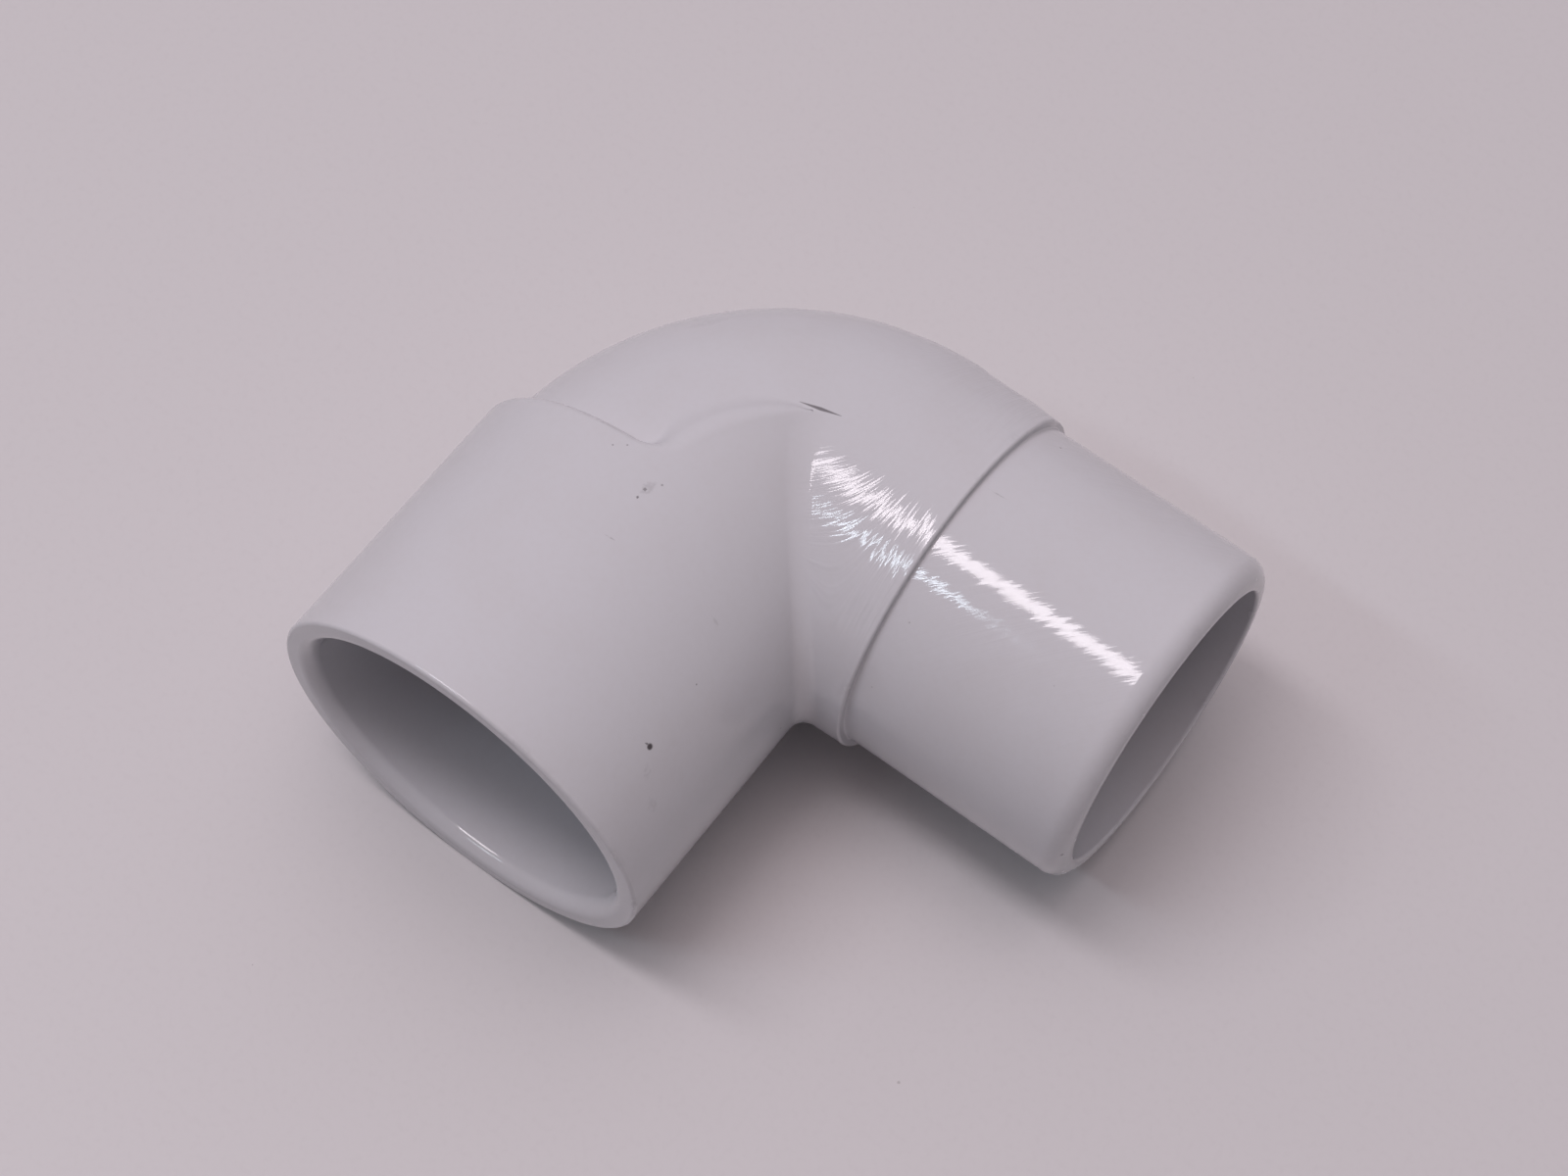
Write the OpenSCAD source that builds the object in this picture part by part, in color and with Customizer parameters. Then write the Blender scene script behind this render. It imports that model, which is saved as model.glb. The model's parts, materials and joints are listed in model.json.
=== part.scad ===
// A 90 degree street elbow for 1-1/2 inch solvent-weld pressure pipe: one moulded piece of white
// PVC, with a socket for the pipe at one end and a spigot of the pipe's own size at the other.
//
// The origin is the centre of the pipe stop inside the socket. The socket opens along -Y, the
// spigot points along +X, and both centrelines lie in the plane z = 0.

/* [Socket] */
// Diameter of the socket's wall, which the pipe slides into
socket_d = 48.56; // [48.3:0.01:50]
// Depth of the socket, from its mouth to the pipe stop
socket_depth = 31.8; // [24:0.1:34]
// Outside diameter of the socket's barrel
barrel_d = 56.4; // [55:0.1:60]
// Length of the barrel, from the mouth to its shoulder
barrel_len = 40.8; // [36:0.1:42]
// Width of the rounded lead-in, across the end face
lead_in_w = 1.44; // [0.5:0.01:2]
// Depth of the rounded lead-in, into the socket
lead_in_depth = 2.2; // [2.1:0.1:4]

/* [Bend] */
// From the pipe stop to the centreline of the spigot
laying_len = 28.5; // [27:0.1:36]
// Radius of the bend's centreline
bend_r = 21.8; // [21:0.1:25]
// Outside diameter of the bend and of the start of its collar
bend_d = 51.4; // [50.5:0.1:53]
// Outside diameter of the collar at its rim: it tapers a little, to draw from the mould
collar_rim_d = 50.7; // [49.5:0.1:51.4]
// From the centreline of the socket to the end of the collar
collar_end = 33.8; // [32:0.1:40]
// Diameter of the waterway
waterway_d = 40.9; // [36:0.1:41]

/* [Spigot] */
// Outside diameter of the spigot, the same as the pipe
spigot_d = 48.26; // [48:0.01:48.8]
// From the centreline of the socket to the end of the spigot
spigot_end = 67; // [60:0.1:90]
// Radius of the rounded nose
nose_r = 2.9; // [1:0.1:3.3]

/* [Rounded edges] */
// Radius of the barrel's shoulder, where the bend starts
shoulder_edge_r = 1.4; // [0.5:0.1:2]
// Radius of the outer edge of the mouth
mouth_edge_r = 0.5; // [0.2:0.1:1]
// Radius of the collar's rim
collar_edge_r = 0.4; // [0.2:0.1:0.6]

/* [Hidden] */
socket_r = socket_d / 2;
barrel_r = barrel_d / 2;
bend_out_r = bend_d / 2;
collar_rim_r = collar_rim_d / 2;
waterway_r = waterway_d / 2;
spigot_r = spigot_d / 2;
// Heights along the socket's axis, counted from the spigot's centreline towards the mouth
mouth_h = laying_len + socket_depth;
shoulder_h = mouth_h - barrel_len;
// The lead-in is an arc that runs tangent into the socket's wall and meets the end face
lead_in_r = (lead_in_w * lead_in_w + lead_in_depth * lead_in_depth) / (2 * lead_in_w);
// How far a cutter reaches past the solid that it cuts
past = 1;
$fn = 128;

// Stands a solid of revolution up along the socket's axis, its heights counted from the crossing
// of the two centrelines towards the mouth.
module along_socket() translate([0, laying_len, 0]) rotate([90, 0, 0]) children();

// The same along the spigot's axis, counted towards the spigot's nose.
module along_spigot() translate([0, laying_len, 0]) rotate([0, 90, 0]) children();

// The sliver that an arc of radius r takes off a square corner at the origin, the profile lying
// in x < 0 and y < 0.
module corner_cut(r) difference() {
    translate([-r, -r]) square(r + past);
    translate([-r, -r]) circle(r);
}

// A plain disc of radius r between two heights.
module disc(r, low, high) translate([0, 0, low]) cylinder(r = r, h = high - low);

// A disc of radius r between two heights with rounded rims: low_r below, or square if it is 0,
// and high_r above.
module rounded_disc(r, low, high, low_r, high_r) rotate_extrude() difference() {
    translate([0, low]) square([r, high - low]);
    translate([r, high]) corner_cut(high_r);
    if (low_r > 0) translate([r, low]) mirror([0, 1]) corner_cut(low_r);
}

// Sweeps a section, drawn round the origin with x pointing away from the bend's centre, through
// the quarter turn that joins the two axes.
module quarter_bend() translate([bend_r, laying_len - bend_r, 0]) rotate([0, 0, 90])
    rotate_extrude(angle = 90) translate([bend_r, 0]) children();

// The half of a round section that faces away from the bend's centre.
module outer_half(r) intersection() {
    circle(r);
    translate([0, -r]) square([r, 2 * r]);
}

// Inside the bend's centreline the two round legs just run on and cross, so their crease shows
// there, and the barrel stands proud of the bend beyond its shoulder.
module crossing() intersection() {
    union() {
        along_socket() disc(barrel_r, 0, bend_r);
        along_spigot() disc(bend_out_r, 0, bend_r);
    }
    translate([bend_r, laying_len - bend_r, 0]) cylinder(r = bend_r, h = barrel_d + past, center = true);
}

// The collar, from the end of the bend to its rounded rim.
module collar() rotate_extrude() difference() {
    polygon([
        [0, bend_r], [bend_out_r, bend_r], [collar_rim_r, collar_end - collar_edge_r],
        [collar_rim_r, collar_end], [0, collar_end]
    ]);
    translate([collar_rim_r, collar_end]) corner_cut(collar_edge_r);
}

module outside() {
    along_socket() rounded_disc(barrel_r, shoulder_h, mouth_h, shoulder_edge_r, mouth_edge_r);
    quarter_bend() outer_half(bend_out_r);
    crossing();
    along_spigot() {
        collar();
        rounded_disc(spigot_r, bend_r, spigot_end, 0, nose_r);
    }
}

// The flare of the socket's mouth. Its arc is left standing, so the cutter narrows into the socket.
module lead_in() rotate_extrude() difference() {
    translate([0, mouth_h - lead_in_depth]) square([socket_r + lead_in_r, lead_in_depth + past]);
    translate([socket_r + lead_in_r, mouth_h - lead_in_depth]) circle(lead_in_r);
}

module inside() {
    along_socket() {
        lead_in();
        disc(socket_r, laying_len, mouth_h);
        disc(waterway_r, bend_r, laying_len + past);
    }
    quarter_bend() circle(waterway_r);
    along_spigot() disc(waterway_r, bend_r, spigot_end + past);
}

module elbow_body() color("whitesmoke") difference() {
    outside();
    inside();
}

elbow_body();
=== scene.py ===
"""A white PVC street elbow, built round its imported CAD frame.

The fitting is one moulded piece, so one mesh stands for the CAD node. Its straight legs, bores and
waterway are rings turned about their axes. The bend, its stepped wall and the crease where the two
legs cross are contoured from a distance field, which gives them the soft fillets of a moulding.
"""
import json
import math

import bpy
import numpy as np
from mathutils import Matrix, Vector


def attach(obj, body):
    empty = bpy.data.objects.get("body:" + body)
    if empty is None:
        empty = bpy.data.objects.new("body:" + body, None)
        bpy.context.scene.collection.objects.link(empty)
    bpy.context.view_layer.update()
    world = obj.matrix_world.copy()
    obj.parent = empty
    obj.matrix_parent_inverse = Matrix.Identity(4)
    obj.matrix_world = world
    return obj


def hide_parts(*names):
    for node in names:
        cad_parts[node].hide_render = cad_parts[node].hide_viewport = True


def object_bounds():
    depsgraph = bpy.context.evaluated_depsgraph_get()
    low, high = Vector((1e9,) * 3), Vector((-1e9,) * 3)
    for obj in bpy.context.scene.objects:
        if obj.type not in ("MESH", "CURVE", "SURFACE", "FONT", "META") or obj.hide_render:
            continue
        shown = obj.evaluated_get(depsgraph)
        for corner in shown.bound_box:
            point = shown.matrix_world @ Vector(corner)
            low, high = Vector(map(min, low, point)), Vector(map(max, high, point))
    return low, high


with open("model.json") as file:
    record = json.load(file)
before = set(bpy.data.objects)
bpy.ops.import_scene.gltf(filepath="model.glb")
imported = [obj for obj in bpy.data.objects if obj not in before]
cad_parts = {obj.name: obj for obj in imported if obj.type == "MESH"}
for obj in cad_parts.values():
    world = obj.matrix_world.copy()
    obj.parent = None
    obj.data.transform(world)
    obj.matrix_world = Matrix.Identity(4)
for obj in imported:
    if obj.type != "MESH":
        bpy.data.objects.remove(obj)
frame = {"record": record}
cad_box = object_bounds()

# ------------------------------------------------------------------ sizes from the frame, in mm
MM = 0.001
low, high = (np.array(corner) / MM for corner in cad_box)
mounts = {mount["name"]: mount for mount in frame["record"]["mounts"]}


def mount_r(name):
    return mounts[name]["dims"]["r_mm"]


def mount_at(name):
    return np.array(mounts[name]["pos_m"]) / MM


CROSSING = mount_at("spigot") * [0, 1, 0]     # of the two centrelines
CROSSING_Y = CROSSING[1]
SOCKET_R = mount_r("socket")
SPIGOT_R = mount_r("spigot")
WATER_R = mount_r("spigot_bore")
BARREL_R = -low[0]
BEND_OUT_R = high[1] - CROSSING_Y
# Distances along a leg are counted from the point where the two centrelines cross.
MOUTH = CROSSING_Y - low[1]
STOP = CROSSING_Y
COLLAR_END = mount_at("spigot")[0]
NOSE_END = mount_at("spigot_bore")[0]
NOSE_R = NOSE_END - COLLAR_END - mounts["spigot"]["dims"]["length_mm"]
LEAD_IN_DEPTH = -low[1] - mounts["socket"]["dims"]["length_mm"]

# ------------------------------------------------------------------ sizes of the moulding, in mm
BARREL_LEN = 40.8
BEND_R = 21.8
LEAD_IN_W = 1.44
LEAD_IN_SOFT = 38       # the lead-in's arc starts this many degrees past the end face
FACE_SOFT = 0.5         # and a smooth curve leads to it from this far out on the face
MOUTH_EDGE_R = 0.5
COLLAR_RIM_R = 25.35    # the collar tapers towards its rim
COLLAR_EDGE_R = 0.4
SHOULDER_EDGE_R = 1.4
STEP_FOOT_R = 0.25      # the collar's face runs into the spigot
STOP_EDGE_R = 0.4       # both corners of the pipe stop
BORE_EDGE_R = 0.45      # inner edge of the spigot's open end
WITNESS_R = 26.8        # the mould insert's ring on the mouth's end face
WITNESS_W = 0.16
WITNESS_DEPTH = 0.08
CREASE_R = 1.2          # fillet where the two legs cross, at the top
THROAT_R = 2.4          # and down in the throat
CORNER_R = 3.0          # shoulder and wall meet, seen from above
FOOT_R = 0.5            # foot of the shoulder
WALL_EDGE_R = 3.0       # the wall is a soft ramp: its upper edge
WALL_FOOT_R = 3.5       # and its foot
SOFTENS = (-3, 6)       # where the shoulder softens into the wall, counted from their corner
CREST_FADE_R = 6.0      # the bend's crest curves down under the wall and the collar
OVERLAP = 1.0           # how far the bend runs on into the two legs
SCAR_DEPTH = 0.32       # flash was trimmed off the outside of the bend, up to the collar's rim
SCAR_X = (7, 16)        # where the scar starts, and where it is at its full depth
SCAR_BAND = (6, 15, 36) # where it lies round the tube, in degrees above its outer side

CREASE_X = 16.0         # about where the crease's upper end is
SHOULDER_Y = CROSSING_Y - (MOUTH - BARREL_LEN)
BEND_Y = CROSSING_Y - BEND_R

# ------------------------------------------------------------------ light and camera
# The world's light: towards where, how sharply, and its radiance
LOBES = [
    ((0, 0, 1), 16, (3.62, 3.07, 3.19)),
    ((-1, 0, 0.7), 3, (0.34, 0.32, 0.335)),
    ((0, 1, 0.7), 3, (0.32, 0.31, 0.35)),
    ((1, 0.3, 0.15), 4, (0.19, 0.20, 0.19)),
]
ROOM = (0.55, 0.51, 0.54)          # what glossy reflections show
BACKDROP = (0.50, 0.46, 0.48)      # what the camera sees past the floor
# Strips of light overhead: where, in m, their sides, their radiance and their colour
STRIPS = {
    "strip_near": ((-0.62, -0.28, 2), (1.15, 0.30), 10, (1, 0.93, 0.98)),
    "strip_far": ((-1.03, -1.13, 2), (1.20, 0.14), 13.5, (0.78, 0.9, 1)),
}
CAMERA_TURN = (34.47, 63.68, 2.66)     # azimuth, elevation and roll, in degrees
CAMERA_DISTANCE = 446.2  # from the crossing, mm
CAMERA_SHIFT = (4.88, -18.82)          # to its right and up from there, mm
LENS = 77.4              # focal length, and the sensor's width, mm
SENSOR = 36

# ------------------------------------------------------------------ finish
PVC = (0.600, 0.600, 0.630)
PVC_DULL = (0.572, 0.562, 0.580)     # the tint of its faint mottling
DIRT = (0.06, 0.05, 0.055)
FLOOR = (0.616, 0.601, 0.611)
FLOOR_GRAIN = (0.572, 0.553, 0.564)
GLOSS = 0.025            # the least roughness
IOR = 1.54               # of PVC
HAIR_GRAIN = (5.0, 0.15, 0.15)       # hairlines: lumps per mm along x, y and z
HAIR_LEAN = -1.1         # they lean over on the spigot and near the crease
HAIR_Y = 20              # leaning about this line
HAIR_START = (31, 34)    # they fade in past the crease, over these sums of x and y
HAIR_Z = (12, 18)        # and up from the sides, over these heights
SPIGOT_HAIR = 0.14       # how far they tilt the normal
COLLAR_HAIR = 0.18       # and how much more on the collar
PEEL_DEPTH = 0.004       # orange peel, mm
WORN_DARKNESS = 0.10     # of scuffed rims
RAGGED_FROM = 0.6        # marks wider than this have ragged edges
BROKEN_BELOW = 0.3       # marks fainter than this are broken up
# Marks of handling: from where to where, in mm, how wide, and how dark
MARKS = [
    ((21.5, -19.7, 18.2), (21.5, -19.7, 18.2), 0.54, 1.0),
    ((21.4, -19.6, 18.4), (20.9, -19.9, 18.9), 0.20, 0.7),
    ((22.4, -21.4, 17.1), (23.2, -22.6, 16.0), 0.9, 0.10),
    ((24.4, -23.6, 14.0), (25.6, -24.2, 11.8), 1.0, 0.08),
    ((21.1, -9.9, 18.7), (21.1, -9.9, 18.7), 0.15, 0.6),
    ((17.8, -2.6, 21.9), (19.2, -2.8, 20.7), 0.30, 0.12),
    ((3.3, 5.2, 28.0), (2.6, 3.0, 28.1), 1.1, 0.16),
    ((3.0, 3.8, 28.0), (2.6, 3.5, 28.1), 0.38, 0.60),
    ((4.1, 5.6, 27.9), (4.0, 5.3, 27.9), 0.26, 0.45),
    ((2.9, 2.3, 28.0), (2.6, 2.2, 28.1), 0.30, 0.70),
    ((2.7, -4.2, 28.1), (4.2, -4.0, 27.9), 0.16, 0.28),
    ((-4.2, 6.2, 27.9), (-4.2, 6.2, 27.9), 0.17, 0.45),
    ((-2.7, 7.2, 28.1), (-2.7, 7.2, 28.1), 0.17, 0.45),
    ((-11.5, 8.3, 25.8), (-3.0, 8.5, 28.0), 0.34, 0.15),
    ((-10.5, 29.1, 18.8), (-7.0, 33.8, 18.6), 1.6, 0.07),
    ((9.7, 26.1, 25.7), (15.0, 27.6, 25.7), 0.33, 0.75),
    ((37.5, 44.3, 18.2), (37.5, 44.3, 18.2), 0.20, 0.50),
    ((34.8, 31.2, 24.0), (38.2, 31.4, 24.0), 0.14, 0.22),
    ((31.1, 30.0, 25.6), (33.0, 30.1, 25.6), 0.14, 0.22),
    ((36.7, 12.8, 18.3), (36.7, 12.8, 18.3), 0.16, 0.30),
    ((66.2, 11.9, 17.2), (66.6, 11.7, 16.9), 0.32, 0.40),
    ((66.7, 8.2, 12.6), (66.8, 7.8, 12.2), 0.30, 0.45),
    ((66.6, 5.6, 1.4), (66.7, 5.6, 0.4), 0.45, 0.50),
]

# ------------------------------------------------------------------ mesh densities
AROUND = 256            # points on a turned ring
FULL_TURN = 2 * math.pi
CELL = 0.48             # the contour's grid, mm
CONTOUR_START_Y = -1.5  # the contoured block ends on the barrel here
CONTOUR_END_X = 31.2    # and on the collar here
STITCH = 0.7            # the first turned ring lies this far past the block


# ------------------------------------------------------------------ distance field of the skin
def join(a, b, fillet):
    """Union of two distances with a round fillet."""
    round_part = np.hypot(np.maximum(fillet - a, 0), np.maximum(fillet - b, 0))
    return np.maximum(fillet, np.minimum(a, b)) - round_part


def trim(a, b, edge):
    """Intersection of two distances with a round edge."""
    return -join(-a, -b, edge)


def ease(x, start, end):
    """0 before start, 1 past end, and smooth between them."""
    share = np.clip((x - start) / (end - start), 0, 1)
    return share * share * (3 - 2 * share)


def collar_r(x):
    """Outer radius of the collar, which tapers from the bend to its rim."""
    share = np.clip((x - BEND_R) / (COLLAR_END - COLLAR_EDGE_R - BEND_R), 0, 1)
    return BEND_OUT_R + (COLLAR_RIM_R - BEND_OUT_R) * share


def scar(p):
    """Depth of the trimmed flash at points in mm: a shallow flat with an uneven upper edge and
    faint grooves along it."""
    x, y, z = p.T
    outward = np.where(x < BEND_R, np.hypot(x - BEND_R, y - BEND_Y) - BEND_R, y - CROSSING_Y)
    angle = np.degrees(np.arctan2(z, outward))
    uneven = (np.sin(0.8 * x) + np.sin(0.5 * x + 2)) / 2
    start, full, end = SCAR_BAND
    band = ease(angle, start, full) * ease(end + 2 * uneven - angle, 0, 7)
    grooves = 0.04 * np.sin(1.2 * angle + 2 * uneven)
    return SCAR_DEPTH * band * (0.96 + grooves) * ease(x, *SCAR_X)


def skin(p, tapered=True):
    """Signed distance from the outer skin near the bend, negative inside, for points in mm."""
    x, y, z = p.T
    outer_r = collar_r(x) if tapered else BEND_OUT_R
    barrel = np.hypot(x, z) - BARREL_R
    collar = np.hypot(y - CROSSING_Y, z) - outer_r
    from_bend = np.hypot(x - BEND_R, y - BEND_Y)
    turn = np.arctan2(np.maximum(y - BEND_Y, 0), np.maximum(BEND_R - x, 0))
    # How far the barrel's crest stands above the bend's, round the wall between them
    wall_x = BEND_R * (1 - np.cos(turn))
    step = np.maximum(np.sqrt(BARREL_R**2 - wall_x**2) - BEND_OUT_R, 0)
    tall = step / (BARREL_R - BEND_OUT_R)

    top_share = np.clip(np.abs(z) / BEND_OUT_R, 0, 1)
    crease = THROAT_R + (CREASE_R - THROAT_R) * top_share
    legs = join(barrel, np.maximum(collar, -x), crease)
    outline = join(y - SHOULDER_Y, from_bend - BEND_R, CORNER_R)
    soft = ease(x + y - SHOULDER_Y, *SOFTENS)
    edge = SHOULDER_EDGE_R + (WALL_EDGE_R - SHOULDER_EDGE_R) * soft
    foot = FOOT_R + (WALL_FOOT_R - FOOT_R) * soft
    legs = trim(legs, outline, edge * tall)

    inward = np.maximum(BEND_R - from_bend, 0)
    tube = np.hypot(from_bend - BEND_R, z) - outer_r + inward**2 / (2 * CREST_FADE_R)
    bend = np.maximum(tube, np.maximum(x - BEND_R, BEND_Y - y) - OVERLAP)
    whole = np.minimum(join(legs, bend, foot * tall), np.maximum(collar, BEND_R - x))
    return whole + scar(p)


def shaded_skin(p):
    """The skin that the normals are taken from. The collar's slight taper is left out of it, so
    that reflections run straight on from the bend."""
    return skin(p, tapered=False)


def unit(vectors):
    return vectors / np.linalg.norm(vectors, axis=1)[:, None]


def gradient(field, p, reach=0.01):
    """Slope of a field at points, from its values a short reach to both sides."""
    steps = reach * np.eye(3)
    return np.stack([(field(p + s) - field(p - s)) / (2 * reach) for s in steps], 1)


def contour(field, axes):
    """Surface nets: one point in each grid cell that the surface passes through, and a quad round
    each grid edge that it crosses. Returns the points and the quads, facing outwards."""
    shape = tuple(len(a) for a in axes)
    nodes = np.stack([g.ravel() for g in np.meshgrid(*axes, indexing="ij")], 1)
    value = field(nodes).reshape(shape)
    cells = tuple(n - 1 for n in shape)
    total, count = np.zeros(cells + (3,)), np.zeros(cells)
    around_edge = np.array([(-1, -1), (0, -1), (0, 0), (-1, 0)])
    edges = []
    for axis in range(3):
        a = value[tuple(slice(0, -1) if k == axis else slice(None) for k in range(3))]
        b = value[tuple(slice(1, None) if k == axis else slice(None) for k in range(3))]
        crossed = (a < 0) != (b < 0)
        at = np.argwhere(crossed)
        share = a[crossed] / (a[crossed] - b[crossed])
        points = np.stack([axes[k][at[:, k]] for k in range(3)], 1)
        points[:, axis] += share * (axes[axis][at[:, axis] + 1] - axes[axis][at[:, axis]])
        four = np.repeat(at[:, None], 4, 1)
        four[:, :, (axis + 1) % 3] += around_edge[:, 0]
        four[:, :, (axis + 2) % 3] += around_edge[:, 1]
        inside = ((four >= 0) & (four < cells)).all(2)
        for k in range(4):
            use = inside[:, k]
            np.add.at(total, tuple(four[use, k].T), points[use])
            np.add.at(count, tuple(four[use, k].T), 1)
        whole = inside.all(1)
        four = four[whole]
        leaving = (a[crossed] < 0)[whole]
        four[~leaving] = four[~leaving][:, ::-1]
        edges.append(four)
    used = count > 0
    number = np.full(cells, -1)
    number[used] = np.arange(used.sum())
    quads = number[tuple(np.concatenate(edges).transpose(2, 0, 1))]
    return total[used] / count[used][:, None], quads


def open_rim(quads):
    """Numbers of the points on the open ends of a sheet of quads."""
    sides = np.sort(np.stack([quads, np.roll(quads, -1, 1)], 2).reshape(-1, 2), 1)
    sides, uses = np.unique(sides, axis=0, return_counts=True)
    return np.unique(sides[uses == 1])


def settle(field, p, rounds=4):
    """Moves points onto the surface."""
    for _ in range(rounds):
        slope = gradient(field, p)
        p = p - slope * (field(p) / (slope**2).sum(1))[:, None]
    return p


# ------------------------------------------------------------------ turned rings
def line(start, end, steps, normal):
    """Rings from start to end, each (along, out), with one normal. The start itself is left out."""
    share = np.arange(1, steps + 1)[:, None] / steps
    points = np.array(start) * (1 - share) + np.array(end) * share
    return np.hstack([points, np.tile(normal, (steps, 1))])


def arc(centre, radius, start, end, steps, hollow=False):
    """Rings along an arc, in degrees from the leg's direction. A hollow arc is a concave fillet.
    The first ring is left out, because the piece before it ends there."""
    angle = np.radians(start + (end - start) * np.arange(1, steps + 1) / steps)
    out = np.stack([np.cos(angle), np.sin(angle)], 1)
    return np.hstack([np.array(centre) + radius * out, -out if hollow else out])


def rounded_corner(start, corner, end, steps):
    """Rings that cut a corner with a smooth curve."""
    start, corner, end = np.array(start), np.array(corner), np.array(end)
    share = np.arange(1, steps + 1)[:, None] / steps
    points = start * (1 - share)**2 + 2 * corner * share * (1 - share) + end * share**2
    run = unit((corner - start) * (1 - share) + (end - corner) * share)
    return np.hstack([points, -run[:, 1:], run[:, :1]])


def barrel_rings():
    """From the contoured block down the barrel, over the mouth, and into the waterway."""
    lead_in_r = (LEAD_IN_W**2 + LEAD_IN_DEPTH**2) / (2 * LEAD_IN_W)
    turn = math.radians(LEAD_IN_SOFT)
    first = CROSSING_Y - CONTOUR_START_Y + STITCH
    edge = MOUTH - MOUTH_EDGE_R
    bore_start = MOUTH - LEAD_IN_DEPTH
    lead_in = np.array([bore_start, SOCKET_R + lead_in_r])
    soft_end = lead_in + lead_in_r * np.array([math.cos(turn), -math.sin(turn)])
    corner = [MOUTH, soft_end[1] + (MOUTH - soft_end[0]) / math.tan(turn)]
    face_end = [MOUTH, SOCKET_R + LEAD_IN_W + FACE_SOFT]
    outwards, inwards, open_end = (0, 1), (0, -1), (1, 0)
    witness = [WITNESS_R + WITNESS_W, WITNESS_R, WITNESS_R - WITNESS_W]
    return np.vstack([
        [[first, BARREL_R, *outwards]],
        line((first, BARREL_R), (edge, BARREL_R), 10, outwards),
        arc((edge, BARREL_R - MOUTH_EDGE_R), MOUTH_EDGE_R, 90, 0, 6),
        [[MOUTH, witness[0] + WITNESS_W, *open_end]],
        [[MOUTH, witness[0], *open_end]],
        [[MOUTH - WITNESS_DEPTH, witness[1], *open_end]],
        [[MOUTH, witness[2], *open_end]],
        [[MOUTH, witness[2] - WITNESS_W, *open_end]],
        [[*face_end, *open_end]],
        rounded_corner(face_end, corner, soft_end, 8),
        arc(lead_in, lead_in_r, -LEAD_IN_SOFT, -90, 10),
        line((bore_start, SOCKET_R), (STOP + STOP_EDGE_R, SOCKET_R), 10, inwards),
        arc((STOP + STOP_EDGE_R, SOCKET_R - STOP_EDGE_R), STOP_EDGE_R, 90, 180, 5, hollow=True),
        line((STOP, SOCKET_R - STOP_EDGE_R), (STOP, WATER_R + STOP_EDGE_R), 2, open_end),
        arc((STOP - STOP_EDGE_R, WATER_R + STOP_EDGE_R), STOP_EDGE_R, 0, -90, 5),
        line((STOP - STOP_EDGE_R, WATER_R), (BEND_R, WATER_R), 5, inwards),
    ])


def spigot_rings():
    """From the waterway out over the nose, along the spigot and over the collar's rim."""
    end = NOSE_END - BORE_EDGE_R
    nose = NOSE_END - NOSE_R
    nose_out = SPIGOT_R - NOSE_R
    foot = COLLAR_END + STEP_FOOT_R
    rim = COLLAR_RIM_R - COLLAR_EDGE_R
    last = CONTOUR_END_X + STITCH
    outwards, inwards, open_end = (0, 1), (0, -1), (1, 0)
    return np.vstack([
        line((BEND_R, WATER_R), (end, WATER_R), 12, inwards),
        arc((end, WATER_R + BORE_EDGE_R), BORE_EDGE_R, -90, 0, 6),
        line((NOSE_END, WATER_R + BORE_EDGE_R), (NOSE_END, nose_out), 2, open_end),
        arc((nose, nose_out), NOSE_R, 0, 90, 16),
        line((nose, SPIGOT_R), (foot, SPIGOT_R), 10, outwards),
        arc((foot, SPIGOT_R + STEP_FOOT_R), STEP_FOOT_R, -90, -180, 4, hollow=True),
        line((COLLAR_END, SPIGOT_R + STEP_FOOT_R), (COLLAR_END, rim), 2, open_end),
        arc((COLLAR_END - COLLAR_EDGE_R, rim), COLLAR_EDGE_R, 0, 90, 9),
        line((COLLAR_END - COLLAR_EDGE_R, COLLAR_RIM_R), (last, collar_r(last)), 4, outwards),
    ])


def spokes(turn):
    """The way out of the bend where it has turned that far, 0 at the socket's leg and 90 degrees at
    the spigot's, and the directions round the tube from there, rising towards +Z."""
    away = np.array([-math.cos(turn), math.sin(turn), 0])
    angle = np.linspace(0, FULL_TURN, AROUND, endpoint=False)[:, None]
    return away, np.cos(angle) * away + np.sin(angle) * np.array([0, 0, 1])


def turned(rings, turn):
    """Points and normals of rings about a leg's axis."""
    away, spoke = spokes(turn)
    along = np.array([away[1], -away[0], 0]) * (1 if turn else -1)
    points = [CROSSING + r[0] * along + r[1] * spoke for r in rings]
    normals = [r[2] * along + r[3] * spoke for r in rings]
    return np.concatenate(points), np.concatenate(normals)


def scarred(points, normals):
    """Takes the scar off the turned part of the collar, with less and less of it down its face."""
    from_axis = (points - CROSSING) * [0, 1, 1]
    radius = np.linalg.norm(from_axis, axis=1)
    share = np.clip((radius - SPIGOT_R) / (COLLAR_RIM_R - SPIGOT_R), 0, 1)
    share *= (points[:, 0] > CONTOUR_END_X) & (points[:, 0] < COLLAR_END + MM)
    normals = normals + gradient(scar, points) * share[:, None]
    points = points - from_axis * (scar(points) * share / radius)[:, None]
    return points, unit(normals)


def waterway_bend(steps=32):
    """The waterway's own rings through the quarter bend, without its two ends."""
    centre = np.array([BEND_R, BEND_Y, 0])
    points, normals = [], []
    for turn in np.linspace(0, math.pi / 2, steps + 1)[1:]:
        away, spoke = spokes(turn)
        points.append(centre + BEND_R * away + WATER_R * spoke)
        normals.append(-spoke)
    return np.concatenate(points), np.concatenate(normals)


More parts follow.
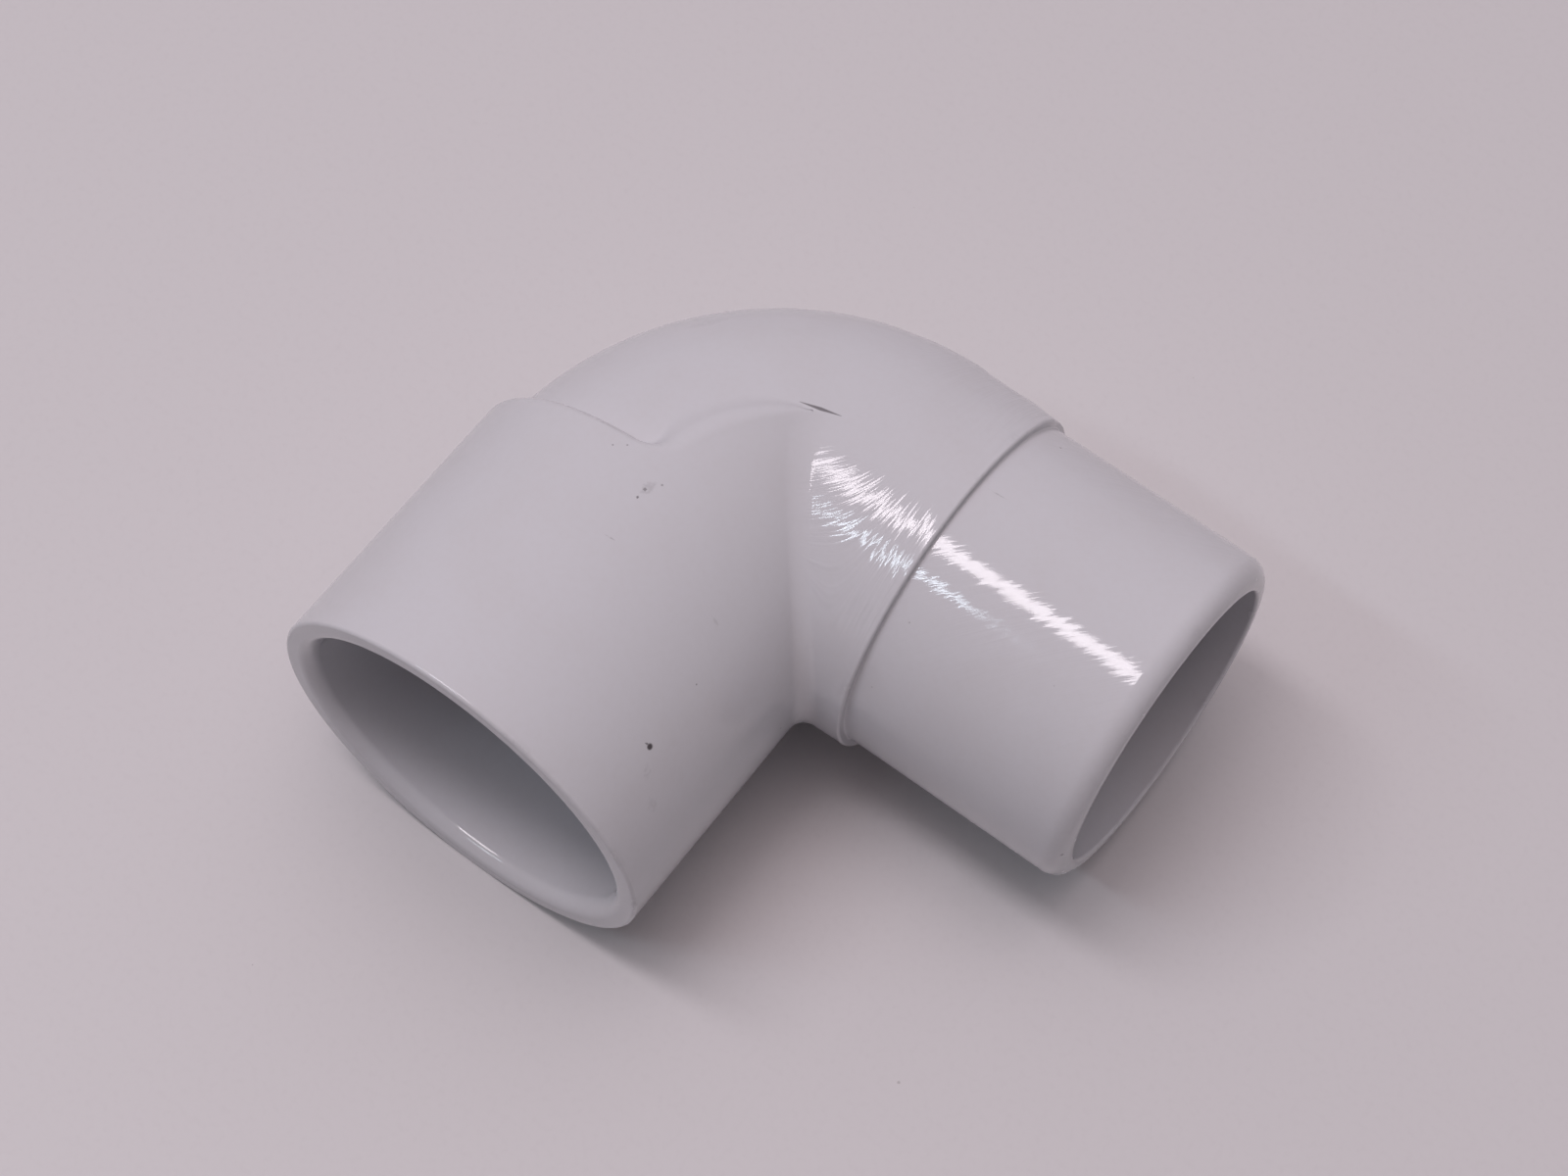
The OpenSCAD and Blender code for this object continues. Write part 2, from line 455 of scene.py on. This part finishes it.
def stitch(rim, rim_angle, ring, flip):
    """Triangles between an uneven rim, given by its point numbers and their angles, and a turned
    ring, given by the number of its first point."""
    order = np.argsort(rim_angle)
    rim, rim_angle = rim[order], np.append(rim_angle[order], rim_angle[order][0] + FULL_TURN)
    ring_angle = np.arange(AROUND + 1) * FULL_TURN / AROUND
    faces, i, j = [], 0, 0
    while i < len(rim) or j < AROUND:
        here, there = rim[i % len(rim)], ring + j % AROUND
        if j == AROUND or (i < len(rim) and rim_angle[i + 1] <= ring_angle[j + 1]):
            i += 1
            faces.append((here, rim[i % len(rim)], there))
        else:
            j += 1
            faces.append((here, ring + j % AROUND, there))
    return [f[::-1] for f in faces] if flip else faces


# ------------------------------------------------------------------ the whole skin
def grid_line(start, end):
    return np.linspace(start, end, round((end - start) / CELL) + 1)


def bend_block():
    """The contoured block between the two legs: its points in mm, their normals, its quads, and
    which of the points are on its open ends at the barrel and at the collar."""
    reach = BARREL_R + 1
    axes = [
        grid_line(-reach, CONTOUR_END_X),
        grid_line(CONTOUR_START_Y, high[1] + 1),
        grid_line(-reach, reach),
    ]
    rough, quads = contour(skin, axes)
    on_rim = np.isin(np.arange(len(rough)), open_rim(quads))
    at_barrel = on_rim & (rough[:, 1] < axes[1][1])
    at_collar = on_rim & (rough[:, 0] > axes[0][-2])
    points = settle(skin, rough)

    # Both open ends are flat and true to the legs that they join
    points[at_barrel] = unit(points[at_barrel] * [1, 0, 1]) * BARREL_R
    points[at_barrel, 1] = CONTOUR_START_Y
    spoke = unit((points[at_collar] - CROSSING) * [0, 1, 1])
    points[at_collar] = CROSSING + spoke * collar_r(CONTOUR_END_X) + [CONTOUR_END_X, 0, 0]
    points[at_collar] -= spoke * scar(points[at_collar])[:, None]
    return points, unit(gradient(shaded_skin, points)), quads, at_barrel, at_collar


def elbow_skin():
    """Points in mm, their normals, and the faces of the closed mesh."""
    block, block_normals, quads, at_barrel, at_collar = bend_block()
    spigot = scarred(*turned(spigot_rings(), math.pi / 2))
    parts = [(block, block_normals), turned(barrel_rings(), 0), waterway_bend(), spigot]
    points, normals = (np.concatenate(columns) for columns in zip(*parts))

    first, last = len(block), len(points) - AROUND
    ring, spot = np.meshgrid(np.arange(first, last, AROUND), np.arange(AROUND), indexing="ij")
    here = ring + spot
    beside = ring + (spot + 1) % AROUND
    tube = np.stack([here, here + AROUND, beside + AROUND, beside], 2).reshape(-1, 4)

    barrel_angle = np.arctan2(block[at_barrel, 2], -block[at_barrel, 0]) % FULL_TURN
    collar_angle = np.arctan2(block[at_collar, 2], block[at_collar, 1] - CROSSING_Y) % FULL_TURN
    seams = stitch(np.flatnonzero(at_barrel), barrel_angle, first, True)
    seams += stitch(np.flatnonzero(at_collar), collar_angle, last, False)
    return points, normals, quads.tolist() + tube.tolist() + seams


def make_elbow():
    points, normals, faces = elbow_skin()
    mesh = bpy.data.meshes.new("elbow")
    mesh.from_pydata((points * MM).tolist(), [], faces)
    mesh.polygons.foreach_set("use_smooth", [True] * len(mesh.polygons))
    mesh.normals_split_custom_set_from_vertices(normals.tolist())
    mesh.update()
    elbow = bpy.data.objects.new("elbow", mesh)
    bpy.context.scene.collection.objects.link(elbow)
    return elbow


# ------------------------------------------------------------------ materials
class Graph:
    """Shader nodes, written as arithmetic on their sockets."""

    def __init__(self, tree):
        self.tree = tree

    def feed(self, socket, value):
        if isinstance(value, bpy.types.NodeSocket):
            self.tree.links.new(value, socket)
        else:
            socket.default_value = value

    def math(self, operation, a, b=0.0, clamp=False):
        node = self.tree.nodes.new("ShaderNodeMath")
        node.operation = operation
        node.use_clamp = clamp
        self.feed(node.inputs[0], a)
        self.feed(node.inputs[1], b)
        return node.outputs[0]

    def vector(self, operation, a, b=(0, 0, 0), scale=1.0):
        node = self.tree.nodes.new("ShaderNodeVectorMath")
        node.operation = operation
        self.feed(node.inputs[0], a)
        if operation == "SCALE":
            self.feed(node.inputs["Scale"], scale)
        elif operation not in ("LENGTH", "NORMALIZE"):
            self.feed(node.inputs[1], b)
        scalar = operation in ("DOT_PRODUCT", "DISTANCE", "LENGTH")
        return node.outputs["Value" if scalar else "Vector"]

    def ease(self, value, start, end):
        """0 before start, 1 past end. The two may run either way."""
        node = self.tree.nodes.new("ShaderNodeMapRange")
        node.interpolation_type = "SMOOTHSTEP"
        self.feed(node.inputs["Value"], value)
        self.feed(node.inputs["From Min"], start)
        self.feed(node.inputs["From Max"], end)
        return node.outputs["Result"]

    def mix(self, share, a, b):
        """Colour a where the share is 0, and b where it is 1."""
        node = self.tree.nodes.new("ShaderNodeMix")
        node.data_type = "RGBA"
        self.feed(node.inputs["Factor"], share)
        for side, colour in (("A", a), ("B", b)):
            self.feed(node.inputs[side], (*colour, 1) if isinstance(colour, tuple) else colour)
        return node.outputs["Result"]

    def noise(self, at, size, detail=2.0, output="Fac"):
        """Noise about 0.5, its lumps about as large as size."""
        node = self.tree.nodes.new("ShaderNodeTexNoise")
        self.feed(node.inputs["Vector"], at)
        node.inputs["Scale"].default_value = 1 / size
        node.inputs["Detail"].default_value = detail
        return node.outputs[output]

    def millimetres(self):
        at = self.tree.nodes.new("ShaderNodeTexCoord").outputs["Object"]
        return self.vector("SCALE", at, scale=1 / MM)

    def specks(self, at, spacing, radius, share):
        """Dots on about that share of the cells of a random grid, 1 inside a dot."""
        node = self.tree.nodes.new("ShaderNodeTexVoronoi")
        self.feed(node.inputs["Vector"], at)
        node.inputs["Scale"].default_value = 1 / spacing
        parts = self.tree.nodes.new("ShaderNodeSeparateColor")
        self.feed(parts.inputs[0], node.outputs["Color"])
        chosen = self.math("LESS_THAN", parts.outputs["Red"], share)
        size = self.math("MULTIPLY", parts.outputs["Green"], radius / spacing)
        inside = self.ease(node.outputs["Distance"], size, self.math("MULTIPLY", size, 0.5))
        return self.math("MULTIPLY", chosen, inside)

    def stroke(self, at, start, end, width):
        """1 on a dot, or on a stroke between two points that tapers towards both."""
        run = (Vector(end) - Vector(start)) / 2
        middle = (Vector(end) + Vector(start)) / 2
        if run.length == 0:
            return self.ease(self.vector("DISTANCE", at, middle), width, width / 2)
        share = self.vector("DOT_PRODUCT", self.vector("SUBTRACT", at, middle), run / run.length**2)
        share = self.math("MINIMUM", self.math("MAXIMUM", share, -1.0), 1.0)
        nearest = self.vector("ADD", self.vector("SCALE", run, scale=share), middle)
        gap = self.vector("DISTANCE", at, nearest)
        taper = self.math("MULTIPLY", self.math("ABSOLUTE", share), width * 2 / 3)
        return self.ease(self.math("ADD", gap, taper), width, width / 2)

    def bump(self, height, depth, normal=None):
        """A bump of that depth, in mm."""
        node = self.tree.nodes.new("ShaderNodeBump")
        node.inputs["Strength"].default_value = 1
        node.inputs["Distance"].default_value = depth * MM
        self.feed(node.inputs["Height"], height)
        if normal:
            self.feed(node.inputs["Normal"], normal)
        return node.outputs["Normal"]


def new_material(name):
    """A material, its node graph and its shader's inputs."""
    material = bpy.data.materials.new(name)
    material.use_nodes = True
    shader = material.node_tree.nodes["Principled BSDF"]
    return material, Graph(material.node_tree), shader.inputs


def mottled(graph, at):
    """The plastic's own colour, in broad clouds and a fine grain."""
    clouds = graph.ease(graph.noise(at, 14, 3), 0.42, 0.72)
    grain = graph.ease(graph.noise(at, 0.9, 3), 0.35, 0.75)
    dull = graph.math("ADD", graph.math("MULTIPLY", clouds, 0.35), graph.math("MULTIPLY", grain, 0.22))
    return graph.mix(dull, PVC, PVC_DULL)


def marked(graph, at):
    """Stray specks and the marks of handling. Wide marks have ragged edges, and faint ones are
    broken up inside."""
    dirt = graph.math("MULTIPLY", graph.specks(at, 4.0, 0.28, 0.10), 0.45)
    shake = graph.vector("SUBTRACT", graph.noise(at, 0.45, 2, "Color"), (0.5, 0.5, 0.5))
    ragged = graph.vector("ADD", at, graph.vector("SCALE", shake, scale=0.8))
    broken = graph.ease(graph.noise(at, 0.5, 3), 0.30, 0.60)
    for start, end, width, darkness in MARKS:
        mark = graph.stroke(ragged if width > RAGGED_FROM else at, start, end, width)
        if darkness < BROKEN_BELOW:
            mark = graph.math("MULTIPLY", mark, broken)
        dirt = graph.math("MAXIMUM", dirt, graph.math("MULTIPLY", mark, darkness))
    return dirt


def worn_rims(graph, at, x, y):
    """Scuffs, in patches, on the rims of the mouth, the collar and the nose."""
    from_pipe = graph.vector("LENGTH", graph.vector("MULTIPLY", at, (1, 0, 1)))
    spigot_axis = graph.vector("SUBTRACT", at, (0, CROSSING_Y, 0))
    from_spigot = graph.vector("LENGTH", graph.vector("MULTIPLY", spigot_axis, (0, 1, 1)))
    mouth_rim = graph.math("MULTIPLY", graph.ease(y, low[1] + 1.2, low[1] + 0.1),
                           graph.ease(from_pipe, BARREL_R - 1.0, BARREL_R - 0.2))
    collar_rim = graph.math("MULTIPLY", graph.ease(x, COLLAR_END - 1.6, COLLAR_END - 0.4),
                            graph.ease(from_spigot, SPIGOT_R + 0.4, COLLAR_RIM_R - 0.2))
    nose_rim = graph.ease(x, NOSE_END - 1.6, NOSE_END - 0.3)
    rims = graph.math("MAXIMUM", graph.math("MAXIMUM", mouth_rim, collar_rim), nose_rim)
    return graph.math("MULTIPLY", rims, graph.ease(graph.noise(at, 3.0, 4), 0.52, 0.72))


def combed(graph, at, x, y, z):
    """The normal, tilted by fine hairlines on top of the collar and the spigot, which comb the
    edges of reflections. They tilt it across the spigot's axis, which a bump can't do without
    tilting it far more along the axis."""
    normal = graph.tree.nodes.new("ShaderNodeNewGeometry").outputs["Normal"]
    across = graph.vector("CROSS_PRODUCT", (1, 0, 0), normal)
    lean = graph.math("MAXIMUM", graph.ease(x, COLLAR_END - 3, CREASE_X),
                      graph.ease(x, COLLAR_END, COLLAR_END + 0.1))
    lean = graph.math("MULTIPLY", lean, HAIR_LEAN)
    leaning = graph.tree.nodes.new("ShaderNodeCombineXYZ")
    graph.feed(leaning.inputs["X"], graph.math("MULTIPLY", lean, graph.math("SUBTRACT", y, HAIR_Y)))
    hair = graph.vector("MULTIPLY", graph.vector("ADD", at, leaning.outputs[0]), HAIR_GRAIN)
    tilt = graph.math("SUBTRACT", graph.noise(hair, 1, 1), 0.5)
    past_crease = graph.math("MULTIPLY", graph.ease(graph.math("ADD", x, y), *HAIR_START),
                             graph.ease(x, CREASE_X - 3, CREASE_X + 1))
    on_spigot = graph.math("MULTIPLY", past_crease, graph.ease(z, *HAIR_Z))
    on_collar = graph.math("MULTIPLY", on_spigot, graph.ease(x, COLLAR_END, COLLAR_END - 0.3))
    reach = graph.math("ADD", graph.math("MULTIPLY", on_spigot, SPIGOT_HAIR),
                       graph.math("MULTIPLY", on_collar, COLLAR_HAIR))
    tilted = graph.vector("SCALE", across, scale=graph.math("MULTIPLY", tilt, reach))
    return graph.vector("NORMALIZE", graph.vector("ADD", normal, tilted))


def white_pvc():
    """Glossy moulded PVC, a little dull and uneven, with marks of handling."""
    material, graph, inputs = new_material("white_pvc")
    at = graph.millimetres()
    place = graph.tree.nodes.new("ShaderNodeSeparateXYZ")
    graph.feed(place.inputs[0], at)
    x, y, z = place.outputs

    worn = worn_rims(graph, at, x, y)
    dirt = graph.math("MAXIMUM", marked(graph, at), graph.math("MULTIPLY", worn, WORN_DARKNESS))
    graph.feed(inputs["Base Color"], graph.mix(dirt, mottled(graph, at), DIRT))

    # Uneven gloss, duller where it is scuffed or dirty
    rough = graph.math("MULTIPLY", graph.noise(at, 6.0, 3), 0.05)
    rough = graph.math("ADD", rough, graph.math("MULTIPLY", graph.noise(at, 0.6, 1), 0.05))
    rough = graph.math("ADD", rough, GLOSS)
    rough = graph.math("ADD", rough, graph.math("MULTIPLY", worn, 0.25))
    rough = graph.math("ADD", rough, graph.math("MULTIPLY", dirt, 0.35))
    graph.feed(inputs["Roughness"], rough)

    # Orange peel over the hairlines
    peel = graph.bump(graph.noise(at, 2.2, 1), PEEL_DEPTH, combed(graph, at, x, y, z))
    graph.feed(inputs["Normal"], peel)
    inputs["IOR"].default_value = IOR
    return material


def pale_floor():
    """A plain pale table with a faint grain and a few specks."""
    material, graph, inputs = new_material("floor")
    at = graph.millimetres()
    grain = graph.ease(graph.noise(at, 1.1, 3), 0.45, 0.80)
    specks = graph.specks(at, 7.0, 0.35, 0.10)
    colour = graph.mix(graph.math("MULTIPLY", grain, 0.30), FLOOR, FLOOR_GRAIN)
    colour = graph.mix(graph.math("MULTIPLY", specks, 0.30), colour, DIRT)
    graph.feed(inputs["Base Color"], colour)
    inputs["Roughness"].default_value = 0.5
    return material


# ------------------------------------------------------------------ stage, light and camera
def make_floor():
    bpy.ops.mesh.primitive_plane_add(size=8, location=(0, 0, low[2] * MM))
    floor = bpy.context.object
    floor.name = "floor"
    floor.data.materials.append(pale_floor())


def make_world():
    """A soft overhead light with three broad, weak fills. The horizon is dim, so hollows stay
    dark. Reflections show an even room instead, and the camera itself sees a plain pale backdrop."""
    world = bpy.data.worlds.new("studio")
    bpy.context.scene.world = world
    world.use_nodes = True
    graph = Graph(world.node_tree)
    toward = graph.tree.nodes.new("ShaderNodeTexCoord").outputs["Generated"]
    light = (0, 0, 0)
    for direction, sharpness, radiance in LOBES:
        facing = graph.vector("DOT_PRODUCT", toward, Vector(direction).normalized())
        lobe = graph.math("POWER", graph.math("MAXIMUM", facing, 0.0), sharpness)
        light = graph.vector("ADD", light, graph.vector("SCALE", radiance, scale=lobe))
    ray = graph.tree.nodes.new("ShaderNodeLightPath").outputs
    light = graph.mix(ray["Is Glossy Ray"], light, ROOM)
    light = graph.mix(ray["Is Camera Ray"], light, BACKDROP)
    graph.feed(graph.tree.nodes["Background"].inputs["Color"], light)


def make_strips():
    """Rectangular lights that shine straight down, each of its own radiance."""
    for name, (place, size, radiance, colour) in STRIPS.items():
        lamp = bpy.data.lights.new(name, "AREA")
        lamp.shape = "RECTANGLE"
        lamp.size, lamp.size_y = size
        lamp.energy = radiance * math.pi * size[0] * size[1]
        lamp.color = colour
        light = bpy.data.objects.new(name, lamp)
        light.location = place
        bpy.context.scene.collection.objects.link(light)


def make_camera():
    """Above and to the right of the socket's mouth, turned a little about its own view."""
    azimuth, elevation, roll = (math.radians(a) for a in CAMERA_TURN)
    back = Vector((
        math.sin(azimuth) * math.cos(elevation),
        -math.cos(azimuth) * math.cos(elevation),
        math.sin(elevation),
    ))
    level = Vector((math.cos(azimuth), math.sin(azimuth), 0))
    rise = back.cross(level)
    right = math.cos(roll) * level + math.sin(roll) * rise
    up = -math.sin(roll) * level + math.cos(roll) * rise
    to_right, to_top = CAMERA_SHIFT
    place = (Vector(CROSSING) + CAMERA_DISTANCE * back + to_right * right + to_top * up) * MM

    camera_data = bpy.data.cameras.new("camera")
    camera_data.lens = LENS
    camera_data.sensor_width = SENSOR
    camera = bpy.data.objects.new("camera", camera_data)
    turn = Matrix((right, up, back)).transposed().to_4x4()
    camera.matrix_world = Matrix.Translation(place) @ turn
    bpy.context.scene.collection.objects.link(camera)
    bpy.context.scene.camera = camera


make_camera()
make_floor()
make_world()
make_strips()
elbow = make_elbow()
elbow.data.materials.append(white_pvc())
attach(elbow, "root")
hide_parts("elbow_body")
bpy.context.scene.view_settings.view_transform = "Standard"
